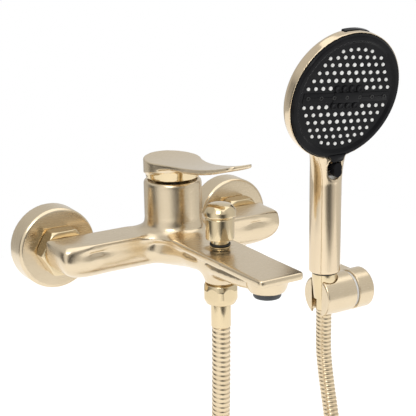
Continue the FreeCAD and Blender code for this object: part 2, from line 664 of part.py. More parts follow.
def handset():
    grip, rim = D["handle_rad"], D["head_rad"]
    # back shell: a shallow cup behind the face, with the handle grown out of its lower edge
    cup = turned("head_cup", [(0, 0), (26.0, 0, 90.0), (rim - 5.0, 4.0, 6.0), (rim + 0.9, 9.5),
                              (rim + 0.9, 17.0), (0, 17.0)], on_face(18.0))
    grip_rod = cylinder(grip, 78.0, at(*HAND, HANDLE))
    neck = loft([oval("neck_low", 13.0, 13.0, at(*HAND, 19.0)),
                 oval("neck_mid", 14.4, 12.2, at(HAND[0], HAND[1] - 1.2, 34.0)),
                 oval("neck_high", 21.0, 8.6, at(HAND[0], HAND[1] - 4.6, 52.0)),
                 oval("neck_top", 31.0, 6.0, at(HAND[0], HAND[1] - 7.6, 64.0))])
    shell = fuse([cup, grip_rod, neck])
    hollow = turned("head_hollow", [(0, 0), (rim - 6.0, 0), (rim - 2.2, 3.0), (rim - 2.2, 12.0),
                                    (0, 12.0)], on_face(13.0))
    channel = cylinder(9.2, 96.0, at(*HAND, HANDLE + 2.0))
    mouth = cylinder(8.4, 6.0, at(*HAND, HANDLE - 1.0))
    face_seat = cylinder(rim + 0.1, 6.0, on_face(5.0))
    recess = cylinder(6.6, 7.0, at(HAND[0], HAND[1] - 7.9, 29.6, OUTWARD))
    recess_low = cylinder(6.6, 7.0, at(HAND[0], HAND[1] - 7.9, 33.5, OUTWARD))
    jet_seat = jet_block(24.2, 5.2, rim - 0.8, rim + 9.0)
    button_way = cylinder(3.2, 8.0, at(HAND[0], HAND[1] - 2.0, 32.0, OUTWARD))
    shell = cut(shell, hollow, channel, mouth, face_seat, recess, recess_low, button_way, jet_seat)
    node(shell, "handset_shell")

    plate = turned("face_plate", [(0, 0), (rim, 0), (rim, 4.6), (rim - 1.4, 6.0), (rim - 4.2, 6.0),
                                  (rim - 6.2, 4.0), (0, 4.0)], on_face(4.95))
    node(plate, "face_plate")
    mat = turned("mat", [(0, 0), (rim - 4.5, 0), (rim - 4.5, 1.8), (0, 1.8)], on_face(6.8))
    node(mat, "nozzle_mat")
    disc = turned("spray_disc", [(8.0, 0), (rim - 7.0, 0), (rim - 7.0, 3.0), (8.0, 3.0)], on_face(9.9))
    node(disc, "spray_disc")

    button = fuse([cylinder(4.0, 5.6, at(HAND[0], HAND[1] - 10.6, 29.6, OUTWARD)),
                   cylinder(4.0, 5.6, at(HAND[0], HAND[1] - 10.6, 33.2, OUTWARD))])
    stalk = cylinder(2.9, 6.0, at(HAND[0], HAND[1] - 5.4, 32.0, OUTWARD))
    node(fuse([button, stalk]), "spray_selector")

    node(jet_block(24.0, 5.0, rim - 0.7, rim + 1.3), "jet_insert")
    tube("waterway_tube", 9.1, 6.5, HANDLE + 6.1, 76.0, *HAND)
    nipple = [(4.5, 0), (8.3, 0), (8.3, 15.0), (4.5, 15.0)]
    node(turned("inlet_nipple", nipple, at(*HAND, HANDLE - 9.0)), "inlet_nipple")
    node(cut(cylinder(10.6, 1.3, at(*HAND, HANDLE - 1.35)),
             cylinder(8.4, 4.0, at(*HAND, HANDLE - 3.0))), "handle_washer")
    cone = turned("cone", [(5.6, 0), (8.7, 0), (10.4, 17.0), (10.4, 22.0), (8.35, 22.0), (8.35, 11.2),
                           (5.6, 11.2)], at(*HAND, HANDLE - 1.4 - 22.0))
    node(cone, "cone_nut")
    tube("cone_washer", 8.2, 4.6, HANDLE - 10.6, 1.5, *HAND)
    node(turned("upper_ferrule", [(4.0, 0), (6.7, 0), (6.7, 9.5), (5.5, 9.7), (5.5, 21.0),
                                  (8.0, 21.0), (8.0, 22.4), (4.0, 22.4)], at(*HAND, HANDLE - 33.2)),
         "upper_ferrule")


handset()

# ---------------------------------------------------------------- shower hose


def hose_path(points):
    """Straight runs joined by tangent arcs, each as large as its two runs allow."""
    edges, here, radii = [], points[0], []
    for before, corner, after in zip(points, points[1:], points[2:]):
        inward, outward = corner - before, after - corner
        turn = inward.getAngle(outward)
        setback = 0.45 * min(inward.Length, outward.Length)
        radii.append(setback / math.tan(turn / 2))
        start = corner - Vector(inward).normalize() * setback
        end = corner + Vector(outward).normalize() * setback
        bisector = (Vector(outward).normalize() - Vector(inward).normalize()).normalize()
        centre = corner + bisector * math.hypot(setback, radii[-1])
        middle = centre - bisector * radii[-1]
        edges.append(Part.LineSegment(here, start).toShape())
        edges.append(Part.Arc(start, middle, end).toShape())
        here = end
    edges.append(Part.LineSegment(here, points[-1]).toShape())
    return Part.Wire(edges), radii


def hose_run(label, points, outer, inner=0.0):
    path, radii = hose_path([Vector(*p) for p in points])
    first = path.Edges[0]
    start, along = first.Vertexes[0].Point, first.tangentAt(first.FirstParameter)
    shape = None
    for radius in (outer, inner):
        if radius == 0:
            continue
        disc = Part.Wire([Part.Circle(start, along, radius).toShape()])
        solid = path.makePipeShell([disc], True, False)
        shape = solid if shape is None else shape.cut(solid)
    section = math.pi * (outer ** 2 - inner ** 2)
    print("%s: length %.1f, radii %s, volume %.0f of %.0f" % (
        label, path.Length, [round(r) for r in radii], shape.Volume, section * path.Length))
    item = DOC.addObject("Part::Feature", label)
    item.Shape = shape
    return node(item, label)


FAUCET_LEG = [(0.0, -116.0, -43.1), (0.0, -115.6, -79.0), (0.8, -112.8, -114.0), (3.8, -106.4, -149.0),
              (7.8, -97.6, -184.0), (10.8, -91.6, -221.0)]
HANDSET_LEG = [(155.0, -30.2, -129.0), (155.0, -34.4, -151.0), (154.4, -41.4, -175.0),
               (152.8, -49.2, -199.0), (151.2, -54.6, -224.0)]
LOOP_AXIS = (0.4672, -0.8842)         # direction of the coil's axis, in plan
LOOP_CENTRE = (81.5, -73.0, -266.0)
LOOP_RAD = 70.0
LOOP_WIDE = 34.0                      # from the middle of the first strand to that of the last


def hose():
    radius = num(HOSE)
    hose_run("hose_faucet_leg", FAUCET_LEG, radius)
    hose_run("hose_handset_leg", HANDSET_LEG, radius)
    tube("hose_sleeve", HOSE, 5.7, -126.6, 36.8, *HAND)
    tube("hose_tail", 5.4, 3.6, -125.0, 35.2, *HAND)
    turn = Rotation(Vector(0, 0, 1), Vector(LOOP_AXIS[0], LOOP_AXIS[1], 0))
    thick, half = radius + 0.4, (LOOP_WIDE + 2 * radius) / 2
    coil = [(LOOP_RAD - thick, 0), (LOOP_RAD + thick, 0), (LOOP_RAD + thick, 2 * half),
            (LOOP_RAD - thick, 2 * half)]
    start = Vector(*LOOP_CENTRE) - Vector(LOOP_AXIS[0], LOOP_AXIS[1], 0) * half
    node(turned("coil", coil, Placement(start, turn)), "hose_coil")
    # strap round all strands at the foot of the coil
    band = 12.0
    outer = box(2 * half + 3.0, band, 2 * thick + 3.0, Placement())
    inner = box(2 * half + 0.6, band + 2, 2 * thick + 0.6, Placement(Vector(1.2, -1, 1.2), Rotation()))
    strap = cut(outer, inner)
    yaw = math.degrees(math.atan2(LOOP_AXIS[1], LOOP_AXIS[0]))
    corner = Placement(Vector(LOOP_CENTRE[0], LOOP_CENTRE[1], LOOP_CENTRE[2] - LOOP_RAD),
                       Rotation(Vector(0, 0, 1), yaw))
    strap.Placement = corner.multiply(Placement(Vector(-half - 1.5, -band / 2, -thick - 1.5), Rotation()))
    node(strap, "hose_tie")


hose()

DOC.recompute()
failed = [item.Label for item in DOC.Objects if "Invalid" in item.State or "Error" in item.State]
failed += [item.Label for item in NODES if item.Shape.isNull() or not item.Shape.isValid()]
if failed:
    raise SystemExit("invalid: " + ", ".join(failed))
os.makedirs("parts", exist_ok=True)
for item in NODES:
    item.Shape.exportStep("parts/%s.step" % item.Label)
print("%d nodes written" % len(NODES))
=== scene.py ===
import json
import math

import bmesh
import bpy
import numpy as np
from mathutils import Matrix, Quaternion, Vector


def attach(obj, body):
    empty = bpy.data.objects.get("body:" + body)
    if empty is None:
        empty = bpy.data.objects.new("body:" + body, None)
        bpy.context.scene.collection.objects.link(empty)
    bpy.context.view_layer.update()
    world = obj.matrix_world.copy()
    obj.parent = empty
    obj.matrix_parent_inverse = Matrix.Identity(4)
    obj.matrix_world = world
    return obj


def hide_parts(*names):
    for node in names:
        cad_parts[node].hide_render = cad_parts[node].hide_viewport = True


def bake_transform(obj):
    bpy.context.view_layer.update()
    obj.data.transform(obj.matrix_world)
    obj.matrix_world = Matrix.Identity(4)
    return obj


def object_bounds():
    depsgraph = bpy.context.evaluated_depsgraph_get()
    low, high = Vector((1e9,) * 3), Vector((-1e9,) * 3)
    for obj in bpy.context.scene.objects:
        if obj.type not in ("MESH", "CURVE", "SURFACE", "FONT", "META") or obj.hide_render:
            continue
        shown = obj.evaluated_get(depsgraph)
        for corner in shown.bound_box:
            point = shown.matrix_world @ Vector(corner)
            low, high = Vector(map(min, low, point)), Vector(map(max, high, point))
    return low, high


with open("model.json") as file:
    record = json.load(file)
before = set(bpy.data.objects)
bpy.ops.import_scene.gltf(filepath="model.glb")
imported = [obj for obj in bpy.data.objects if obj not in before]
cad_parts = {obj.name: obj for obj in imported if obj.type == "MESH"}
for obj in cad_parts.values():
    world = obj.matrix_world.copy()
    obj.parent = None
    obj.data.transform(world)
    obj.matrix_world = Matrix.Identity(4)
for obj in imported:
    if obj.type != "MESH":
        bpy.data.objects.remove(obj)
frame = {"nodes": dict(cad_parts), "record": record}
cad_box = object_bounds()

MM = 0.001
SCENE = bpy.context.scene
NODES = frame["nodes"]

# places that the CAD model also uses, in mm
HAND = (155.0, -30.0)
FACE_AT = (155.0, -55.4, 90.9)
FACE_TILT = 14.0
KNOB = (0.0, -116.0)
TOWER = (0.0, -53.0)
AERATOR = (0.0, -172.0)
HANDLE_LOW = -56.5
DECK = 13.0
OUTLET = -11.0
LEVER_SKIRT_RAD = 20.4
LEVER_BACK = (31.0, 51.4)
LEVER_FRONT = (75.0, 58.4)


# the camera, worked out from the 150 mm between the supplies: metres and degrees
AIM = Vector((0.0618, 0.0, 0.0046))
DISTANCE = 0.9
AZIMUTH = -31.48
ELEVATION = 15.58
ROLL = -0.85
LENS = 98.58


# ---------------------------------------------------------------- camera

def add(name, data):
    item = bpy.data.objects.new(name, data)
    SCENE.collection.objects.link(item)
    return item


def make_camera():
    data = bpy.data.cameras.new("camera")
    data.sensor_width = 36.0
    data.lens = LENS
    data.clip_start = 0.01
    data.clip_end = 50.0
    camera = add("camera", data)
    azimuth, elevation = math.radians(AZIMUTH), math.radians(ELEVATION)
    back = Vector((math.sin(azimuth) * math.cos(elevation), -math.cos(azimuth) * math.cos(elevation),
                   math.sin(elevation)))
    camera.location = AIM + DISTANCE * back
    roll = Quaternion((0, 0, 1), math.radians(ROLL))
    camera.rotation_mode = "QUATERNION"
    camera.rotation_quaternion = back.to_track_quat("Z", "Y") @ roll
    SCENE.camera = camera


make_camera()


# ---------------------------------------------------------------- materials

MATERIALS = {}


class Nodes:
    """Short names for building a node material."""

    def __init__(self, name):
        self.material = bpy.data.materials.new(name)
        self.material.use_nodes = True
        self.tree = self.material.node_tree
        self.shader = self.tree.nodes["Principled BSDF"]
        self.coords = self.tree.nodes.new("ShaderNodeTexCoord").outputs["Object"]
        MATERIALS[name] = self.material

    def noise(self, scale, stretch=(1, 1, 1), detail=3.0):
        mapping = self.tree.nodes.new("ShaderNodeMapping")
        mapping.inputs["Scale"].default_value = stretch
        self.tree.links.new(self.coords, mapping.inputs["Vector"])
        item = self.tree.nodes.new("ShaderNodeTexNoise")
        item.inputs["Scale"].default_value = scale
        item.inputs["Detail"].default_value = detail
        self.tree.links.new(mapping.outputs["Vector"], item.inputs["Vector"])
        return item.outputs["Fac"]

    def pointiness(self):
        return self.tree.nodes.new("ShaderNodeNewGeometry").outputs["Pointiness"]

    def spread(self, value, low, high, new_low, new_high):
        item = self.tree.nodes.new("ShaderNodeMapRange")
        self.tree.links.new(value, item.inputs["Value"])
        limits = {"From Min": low, "From Max": high, "To Min": new_low, "To Max": new_high}
        for key, number in limits.items():
            item.inputs[key].default_value = number
        return item.outputs["Result"]

    def mix(self, factor, first, second):
        item = self.tree.nodes.new("ShaderNodeMix")
        item.data_type = "RGBA"
        self.tree.links.new(factor, item.inputs[0])
        for socket, value in ((item.inputs[6], first), (item.inputs[7], second)):
            if isinstance(value, tuple):
                socket.default_value = (*value, 1.0)
            else:
                self.tree.links.new(value, socket)
        return item.outputs[2]

    def bump(self, height, strength, distance, before=None):
        item = self.tree.nodes.new("ShaderNodeBump")
        item.inputs["Strength"].default_value = strength
        item.inputs["Distance"].default_value = distance
        self.tree.links.new(height, item.inputs["Height"])
        if before is not None:
            self.tree.links.new(before, item.inputs["Normal"])
        return item.outputs["Normal"]

    def put(self, key, value):
        if isinstance(value, (int, float)):
            self.shader.inputs[key].default_value = value
        elif isinstance(value, tuple):
            self.shader.inputs[key].default_value = (*value, 1.0)
        else:
            self.tree.links.new(value, self.shader.inputs[key])


def metal(name, colour, dark, rough, grain, stretch, bump):
    """Plated or machined metal: brush grain, soft smudges and edges worn a little brighter."""
    n = Nodes(name)
    smudge = n.noise(55.0, detail=4.0)
    body = n.mix(n.spread(smudge, 0.35, 0.68, 0.0, 1.0), colour, dark)
    worn = tuple(min(1.0, value * 1.05) for value in colour)
    body = n.mix(n.spread(n.pointiness(), 0.53, 0.66, 0.0, 0.6), body, worn)
    n.put("Base Color", body)
    n.put("Metallic", 1.0)
    lines = n.noise(grain, stretch, detail=2.0)
    n.put("Roughness", n.spread(lines, 0.3, 0.7, rough * 0.82, rough * 1.2))
    n.put("Normal", n.bump(lines, bump, 0.00006))


def dielectric(name, colour, dark, rough, grain, bump, coat=0.0, specular=0.5):
    """Moulded plastic, rubber or ceramic: fine skin texture and a slight unevenness of colour and gloss."""
    n = Nodes(name)
    n.put("Base Color", n.mix(n.spread(n.noise(70.0), 0.35, 0.68, 0.0, 1.0), colour, dark))
    n.put("Metallic", 0.0)
    skin = n.noise(grain, detail=2.0)
    n.put("Roughness", n.spread(n.noise(160.0), 0.3, 0.7, rough * 0.8, rough * 1.25))
    n.put("Coat Weight", coat)
    n.put("Specular IOR Level", specular)
    n.put("Normal", n.bump(skin, bump, 0.00008))


metal("brushed_gold", (0.72, 0.60, 0.425), (0.70, 0.58, 0.405), 0.235, 4200.0, (0.03, 1.0, 1.0), 0.03)
metal("handle_gold", (0.74, 0.61, 0.43), (0.715, 0.585, 0.41), 0.13, 4200.0, (1.0, 1.0, 0.03), 0.015)
metal("polished_gold", (0.72, 0.59, 0.38), (0.695, 0.565, 0.36), 0.12, 2600.0, (1.0, 1.0, 0.05), 0.02)
metal("hose_gold", (0.72, 0.59, 0.40), (0.66, 0.53, 0.35), 0.20, 2200.0, (1.0, 1.0, 1.0), 0.04)
metal("raw_brass", (0.72, 0.54, 0.28), (0.62, 0.45, 0.22), 0.34, 1800.0, (1.0, 1.0, 1.0), 0.2)
metal("steel", (0.60, 0.60, 0.61), (0.50, 0.50, 0.52), 0.30, 2000.0, (1.0, 1.0, 0.1), 0.2)
dielectric("black_plastic", (0.008, 0.008, 0.009), (0.012, 0.012, 0.013), 0.16, 1500.0, 0.02, specular=0.09)
dielectric("white_silicone", (0.90, 0.90, 0.88), (0.84, 0.84, 0.82), 0.48, 2500.0, 0.2)
dielectric("white_plastic", (0.80, 0.80, 0.78), (0.73, 0.73, 0.71), 0.38, 2200.0, 0.15)
dielectric("grey_plastic", (0.062, 0.066, 0.072), (0.045, 0.048, 0.052), 0.42, 2600.0, 0.3)
dielectric("black_rubber", (0.016, 0.016, 0.016), (0.024, 0.024, 0.024), 0.62, 2600.0, 0.35)
dielectric("ceramic", (0.84, 0.84, 0.82), (0.78, 0.78, 0.76), 0.24, 2600.0, 0.05)

for part in frame["record"]["subparts"]:
    for place in NODES[part["node"]].material_slots:
        place.material = MATERIALS[part["material_slot"]]


def finish_piece(piece, slot, body, *nodes, look=None):
    piece.data.materials.clear()
    piece.data.materials.append(MATERIALS[look or slot])
    if body:
        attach(piece, body)
    if nodes:
        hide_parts(*nodes)
    return piece


# ---------------------------------------------------------------- shower hose

HOSE_RAD = 6.5
STRIP_PITCH = 3.5
GROOVE = 0.75
TAIL_BORE = 5.55
TAIL_BORE_DEEP = 37.0
HOSE_STEP = 0.5
FAUCET_LEG = [(0.0, -116.0, -43.1), (0.0, -115.6, -79.0), (0.8, -112.8, -114.0), (3.8, -106.4, -149.0),
              (7.8, -97.6, -184.0), (10.8, -91.6, -221.0)]
HANDSET_LEG = [(155.0, -30.0, -89.8), (155.0, -30.0, -110.0), (155.0, -30.2, -129.0), (155.0, -34.4, -151.0),
               (154.4, -41.4, -175.0), (152.8, -49.2, -199.0), (151.2, -54.6, -224.0)]
LOOP_AXIS = Vector((0.4672, -0.8842, 0.0))
LOOP_RIGHT = Vector((0.8842, 0.4672, 0.0))
LOOP_CENTRE = Vector((81.5, -73.0, -266.0))
LOOP_RAD = 70.0
LOOP_WIDE = 34.0
LOOP_TURNS = 2.5
TURN_POINTS = 16


def hose_route():
    """Control points in mm: down from the faucet, round the tied coil, and up to the handset."""
    points = [Vector(p) for p in FAUCET_LEG]
    steps = int(LOOP_TURNS * TURN_POINTS)
    for step in range(steps + 1):
        share = step / steps
        angle = math.pi + share * LOOP_TURNS * 2 * math.pi
        across = LOOP_AXIS * (LOOP_WIDE * (share - 0.5))
        spoke = LOOP_RIGHT * math.cos(angle) + Vector((0, 0, math.sin(angle)))
        points.append(LOOP_CENTRE + across + spoke * LOOP_RAD)
    points += [Vector(p) for p in reversed(HANDSET_LEG)]
    return points


def smooth_line(name, points):
    """Points in metres along the NURBS spline that has these control points."""
    data = bpy.data.curves.new(name, "CURVE")
    data.dimensions = "3D"
    spline = data.splines.new("NURBS")
    spline.points.add(len(points) - 1)
    for target, point in zip(spline.points, points):
        target.co = (*(point * MM), 1.0)
    spline.order_u = 3
    spline.use_endpoint_u = True
    spline.resolution_u = 14
    item = add(name, data)
    bpy.context.view_layer.update()
    mesh = bpy.data.meshes.new_from_object(item.evaluated_get(bpy.context.evaluated_depsgraph_get()))
    line = np.array([v.co for v in mesh.vertices])
    bpy.data.objects.remove(item)
    bpy.data.meshes.remove(mesh)
    return line


def resample(line, step):
    gaps = np.linalg.norm(np.diff(line, axis=0), axis=1)
    along = np.concatenate([[0.0], np.cumsum(gaps)])
    keep = np.concatenate([[True], gaps > 1e-9])
    marks = np.linspace(0.0, along[-1], max(2, int(round(along[-1] / step))))
    return np.stack([np.interp(marks, along[keep], line[keep, k]) for k in range(3)], axis=1), marks


def wound_tube(name, line, marks, radius, pitch, depth, bore, bore_deep, sides=20):
    """Tube of wound strip, each turn proud of a narrow spiral groove, with a bore at its far end."""
    tangent = np.gradient(line, axis=0)
    tangent /= np.linalg.norm(tangent, axis=1)[:, None]
    side = np.cross(tangent[0], (1.0, 0.0, 0.0))
    side /= np.linalg.norm(side)
    verts, inner = [], []
    angles = np.arange(sides) * 2 * math.pi / sides
    for index in range(len(line)):
        side = side - tangent[index] * np.dot(side, tangent[index])
        side /= np.linalg.norm(side)
        other = np.cross(tangent[index], side)
        turn = (marks[index] / pitch + angles / (2 * math.pi)) % 1.0
        reach = radius - depth * np.abs(2 * turn - 1.0) ** 3.5
        spokes = np.cos(angles)[:, None] * side + np.sin(angles)[:, None] * other
        verts.append(line[index] + spokes * reach[:, None])
        if marks[index] >= marks[-1] - bore_deep:
            inner.append(line[index] + spokes * bore)
    verts += inner[::-1]
    count = len(verts)
    verts = np.concatenate(verts)
    faces = []
    for index in range(count - 1):
        for k in range(sides):
            a, b = index * sides + k, index * sides + (k + 1) % sides
            faces.append((a, b, b + sides, a + sides))
    faces.append(tuple(range(sides - 1, -1, -1)))
    faces.append(tuple(range((count - 1) * sides, count * sides)))
    mesh = bpy.data.meshes.new(name)
    mesh.from_pydata(verts.tolist(), [], faces)
    mesh.shade_smooth()
    return add(name, mesh)


def make_hose():
    line = smooth_line("hose_line", hose_route())
    points, marks = resample(line, HOSE_STEP * MM)
    hose = wound_tube("shower_hose", points, marks, HOSE_RAD * MM, STRIP_PITCH * MM, GROOVE * MM,
                      TAIL_BORE * MM, TAIL_BORE_DEEP * MM)
    finish_piece(hose, "hose_gold", None, "hose_faucet_leg", "hose_coil", "hose_handset_leg", "hose_sleeve")
    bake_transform(hose)


make_hose()


# ---------------------------------------------------------------- mesh helpers

def at(x, y, z, tilt=0.0, turn=0.0, yaw=0.0):
    """Matrix in mm: tilted about X, then turned about Y, then about Z."""
    rotation = (Matrix.Rotation(math.radians(yaw), 4, "Z") @ Matrix.Rotation(math.radians(turn), 4, "Y")
                @ Matrix.Rotation(math.radians(tilt), 4, "X"))
    return Matrix.Translation((x, y, z)) @ rotation


def on_face(depth=0.0):
    """Frame of the spray face: X to the right, Y up along it, Z out of it."""
    return at(*FACE_AT, tilt=90.0 + FACE_TILT) @ Matrix.Translation((0, 0, -depth))


def arc_corners(corners, radius, closed):
    """Corners (x, y[, radius]) with each one rounded by an arc."""
    count, out = len(corners), []
    for index, corner in enumerate(corners):
        here = Vector(corner[:2])
        size = corner[2] if len(corner) > 2 else radius
        if size <= 0 or (not closed and index in (0, count - 1)):
            out.append(here)
            continue
        before = Vector(corners[index - 1][:2])
        after = Vector(corners[(index + 1) % count][:2])
        first, second = (before - here), (after - here)
        bend = math.pi - first.angle(second)
        if bend < 0.06:
            out.append(here)
            continue
        reach = min(size * math.tan(bend / 2), 0.48 * first.length, 0.48 * second.length)
        start, end = here + first.normalized() * reach, here + second.normalized() * reach
        steps = max(2, int(math.ceil(bend / 0.28)))
        for step in range(steps + 1):
            share = step / steps
            out.append(start * (1 - share) ** 2 + here * (2 * share * (1 - share)) + end * share ** 2)
    return out


def lathe(name, corners, place, slot, body, *nodes, round_by=0.35, closed=False, segments=96):
    """Turned piece. Corners are (radius, height) in mm. An open profile starts and ends on the axis."""
    profile = arc_corners(corners, round_by, closed)
    work = bmesh.new()
    rings = []
    for point in profile:
        if point.x < 1e-6:
            rings.append([work.verts.new((0, 0, point.y))])
        else:
            rings.append([work.verts.new((point.x * math.cos(a), point.x * math.sin(a), point.y))
                          for a in (2 * math.pi * k / segments for k in range(segments))])
    pairs = list(zip(rings, rings[1:] + ([rings[0]] if closed else [])))
    for low, high in pairs[:len(rings) if closed else len(rings) - 1]:
        for k in range(segments):
            following = (k + 1) % segments
            if len(low) == 1 and len(high) > 1:
                work.faces.new((low[0], high[following], high[k]))
            elif len(high) == 1 and len(low) > 1:
                work.faces.new((low[k], low[following], high[0]))
            elif len(low) > 1 and len(high) > 1:
                work.faces.new((low[k], low[following], high[following], high[k]))
    return from_bmesh(name, work, place, slot, body, *nodes)


def from_bmesh(name, work, place, slot, body, *nodes, sharp=60.0):
    bmesh.ops.recalc_face_normals(work, faces=work.faces)
    mesh = bpy.data.meshes.new(name)
    work.to_mesh(mesh)
    work.free()
    mesh.transform(Matrix.Scale(MM, 4) @ place)
    mesh.shade_smooth()
    mesh.set_sharp_from_angle(angle=math.radians(sharp))
    return finish_piece(add(name, mesh), slot, body, *nodes)


def relax(mesh, weight, rounds):
    """Draws each point towards its neighbours, as far as weight(points in mm) says, from 0 to 1."""
    count = len(mesh.vertices)
    spots = np.empty(count * 3)
    mesh.vertices.foreach_get("co", spots)
    spots = spots.reshape(-1, 3)
    ends = np.empty(len(mesh.edges) * 2, dtype=np.int64)
    mesh.edges.foreach_get("vertices", ends)
    degree = np.bincount(ends, minlength=count)[:, None]
    first, second = ends.reshape(-1, 2).T
    share = 0.5 * weight(spots / MM)[:, None]
    for _ in range(rounds):
        sums = [np.bincount(first, spots[second, k], count) + np.bincount(second, spots[first, k], count)
                for k in range(3)]
        total = np.stack(sums, axis=1)
        spots += share * (total / degree - spots)
    mesh.vertices.foreach_set("co", spots.ravel())
    mesh.update()


def softened(name, node, voxel, rounds, slot, body, weight=None, look=None):
    """The CAD solid with its edges worn round, as a casting is after polishing."""
    mesh = NODES[node].data.copy()
    work = bmesh.new()
    work.from_mesh(mesh)
    bmesh.ops.remove_doubles(work, verts=work.verts, dist=1e-6)
    work.to_mesh(mesh)
    work.free()
    piece = add(name, mesh)
    remesh = piece.modifiers.new("remesh", "REMESH")
    remesh.mode = "VOXEL"
    remesh.voxel_size = voxel * MM
    bpy.context.view_layer.update()
    final = bpy.data.meshes.new_from_object(piece.evaluated_get(bpy.context.evaluated_depsgraph_get()))
    piece.modifiers.clear()
    piece.data = final
    relax(final, weight or (lambda spots: np.ones(len(spots))), rounds)
    final.shade_smooth()
    return finish_piece(piece, slot, body, node, look=look)


def ramp(value, low, high):
    share = np.clip((value - low) / (high - low), 0.0, 1.0)
    return share * share * (3 - 2 * share)


# ---------------------------------------------------------------- faucet body and lever

BODY_ROUNDS = 160


def body_weight(spots):
    """Crisp spout and tower rim, flowing bar ends, and soft valleys where the castings run together."""
    x, y, z = spots.T
    side = np.abs(x)
    ends = ramp(side, 68.0, 80.0) * ramp(-y, 33.0, 38.0)
    throat = ramp(-y, 48.0, 54.0) * (1 - ramp(-y, 86.0, 96.0))
    throat *= (1 - ramp(z, 7.0, 10.0)) * (1 - ramp(side, 52.0, 64.0))
    around = np.hypot(x - TOWER[0], y - TOWER[1])
    foot = ramp(around, 20.0, 21.0) * (1 - ramp(around, 30.0, 34.0))
    foot *= ramp(z, 10.0, 12.0) * (1 - ramp(z, 20.0, 24.0))
    away = np.hypot(x - KNOB[0], y - KNOB[1])
    boss = (1 - ramp(away, 15.0, 20.0)) * (ramp(-z, -6.0, -3.0) * (1 - ramp(-z, 8.0, 10.5)))
    return np.clip(0.05 + ends + 0.95 * throat + 0.5 * foot + 0.5 * boss, 0.0, 1.0)


softened("faucet_body", "body_casting", 0.8, BODY_ROUNDS, "brushed_gold", "faucet", body_weight)


def make_lever():
    """The lever, with a polished skirt below the slanting edge of its brushed cap."""
    (back, low), (front, high) = LEVER_BACK, LEVER_FRONT
    slope = (high - low) / (front - back)
    lever = softened("lever_handle", "lever", 0.45, 6, "brushed_gold", "lever_arm")
    lever.data.materials.append(MATERIALS["polished_gold"])
    for face in lever.data.polygons:
        place = face.center / MM
        edge = low + (-place.y - back) * slope
        if place.z < edge - 0.1 and math.hypot(place.x, place.y - TOWER[1]) < LEVER_SKIRT_RAD:
            face.material_index = 1


make_lever()

# ---------------------------------------------------------------- wall side

for side in ("hot", "cold"):
    softened(side + "_wall_plate", side + "_escutcheon", 0.5, 4, "brushed_gold", "faucet")
    softened(side + "_inlet_nut", side + "_union_nut", 0.35, 2, "polished_gold", "faucet")

# ---------------------------------------------------------------- diverter and outlets

KNOB_PROFILE = [(0, 13.0), (6.5, 13.0), (6.5, 0), (9.8, 0, 0.5), (9.8, 14.2, 1.0), (9.0, 15.2, 0.4),
                (11.1, 16.2, 0.9), (11.1, 19.4, 3.4), (8.4, 23.9, 5.0), (2.2, 24.55, 1.0), (0, 24.6)]
lathe("diverter_knob_cap", KNOB_PROFILE,
      at(*KNOB, DECK + 7.0), "polished_gold", "diverter", "diverter_knob", round_by=0.4)
softened("hose_swivel_nut", "hose_nut", 0.3, 2, "polished_gold", "faucet")
lathe("hose_ferrule", [(4.4, 0), (6.9, 0), (6.9, 16.2, 0.8), (5.9, 17.0, 0.6), (5.9, 19.0, 0.3), (8.6, 19.0),
                       (8.6, 20.4), (4.4, 20.4)],
      at(*KNOB, OUTLET - 32.0), "polished_gold", "faucet", "lower_ferrule", closed=True)

# ---------------------------------------------------------------- handset

softened("handset_body", "handset_shell", 0.6, 8, "brushed_gold", "handset", look="handle_gold")
RIM = 51.5
lathe("spray_face", [(0, -4.9), (RIM - 0.3, -4.9), (RIM - 0.2, -0.6, 0.6), (RIM - 1.6, 0.95, 1.0),
                     (RIM - 5.0, 0.95, 1.2), (RIM - 7.0, -0.9, 1.6), (0, -0.95)],
      on_face(), "black_plastic", "handset", "face_plate", round_by=0.5, segments=160)


def dimple_dots(work, spots, profile, segments=14):
    """One small turned stud for each spot (x, y, size), standing on the face."""
    for x, y, size in spots:
        rings = []
        for radius, height in profile:
            if radius == 0:
                rings.append([work.verts.new((x, y, height))])
            else:
                reach = radius * size
                rings.append([work.verts.new((x + reach * math.cos(a), y + reach * math.sin(a), height))
                              for a in (2 * math.pi * k / segments for k in range(segments))])
        for low, high in zip(rings, rings[1:]):
            for k in range(segments):
                following = (k + 1) % segments
                if len(high) == 1:
                    work.faces.new((low[k], low[following], high[0]))
                else:
                    work.faces.new((low[k], low[following], high[following], high[k]))


NOZZLE = [(1.0, -2.4), (1.0, -0.7), (0.92, -0.1), (0.74, 0.22), (0.42, 0.26), (0.36, -0.1), (0, -0.15)]
DARK_NOZZLE = [(1.0, -2.4), (1.0, -0.2), (0.9, 0.35), (0.72, 0.45), (0.62, 0.2), (0, 0.12)]
BAND_JET = [(1.7, -2.4), (1.7, 0.35), (1.5, 0.55), (1.15, 0.55), (1.0, 0.3), (0.9, -0.3), (0, -0.3)]
# height of each row of nozzles above the middle, how many stand in it, and how much it curves
ROWS = [(7.6, 12, 0.0), (13.9, 11, 0.0), (20.2, 10, 0.0), (26.5, 9, 0.0), (32.8, 8, 0.0015), (39.0, 5, 0.008)]
COLUMN = 7.15
FACE_SPIN = -4.7
HOLE_STEP = 12.6


def face_frame():
    return on_face() @ Matrix.Rotation(math.radians(FACE_SPIN), 4, "Z")


def nozzle_spots():
    """Rows of (x, y, size): white ones all over, and four dark ones each side of the middle band."""
    white, black = [], []
    for high, count, sag in ROWS:
        for sign in (1, -1):
            for index in range(count):
                x = (index - (count - 1) / 2) * COLUMN
                if count == 12 and 4 <= index < 8:
                    black.append((x, sign * (high - 0.6), 2.75))
                else:
                    white.append((x, sign * (high - sag * x * x), 1.9 - 0.013 * math.hypot(x, high)))
    return white, black


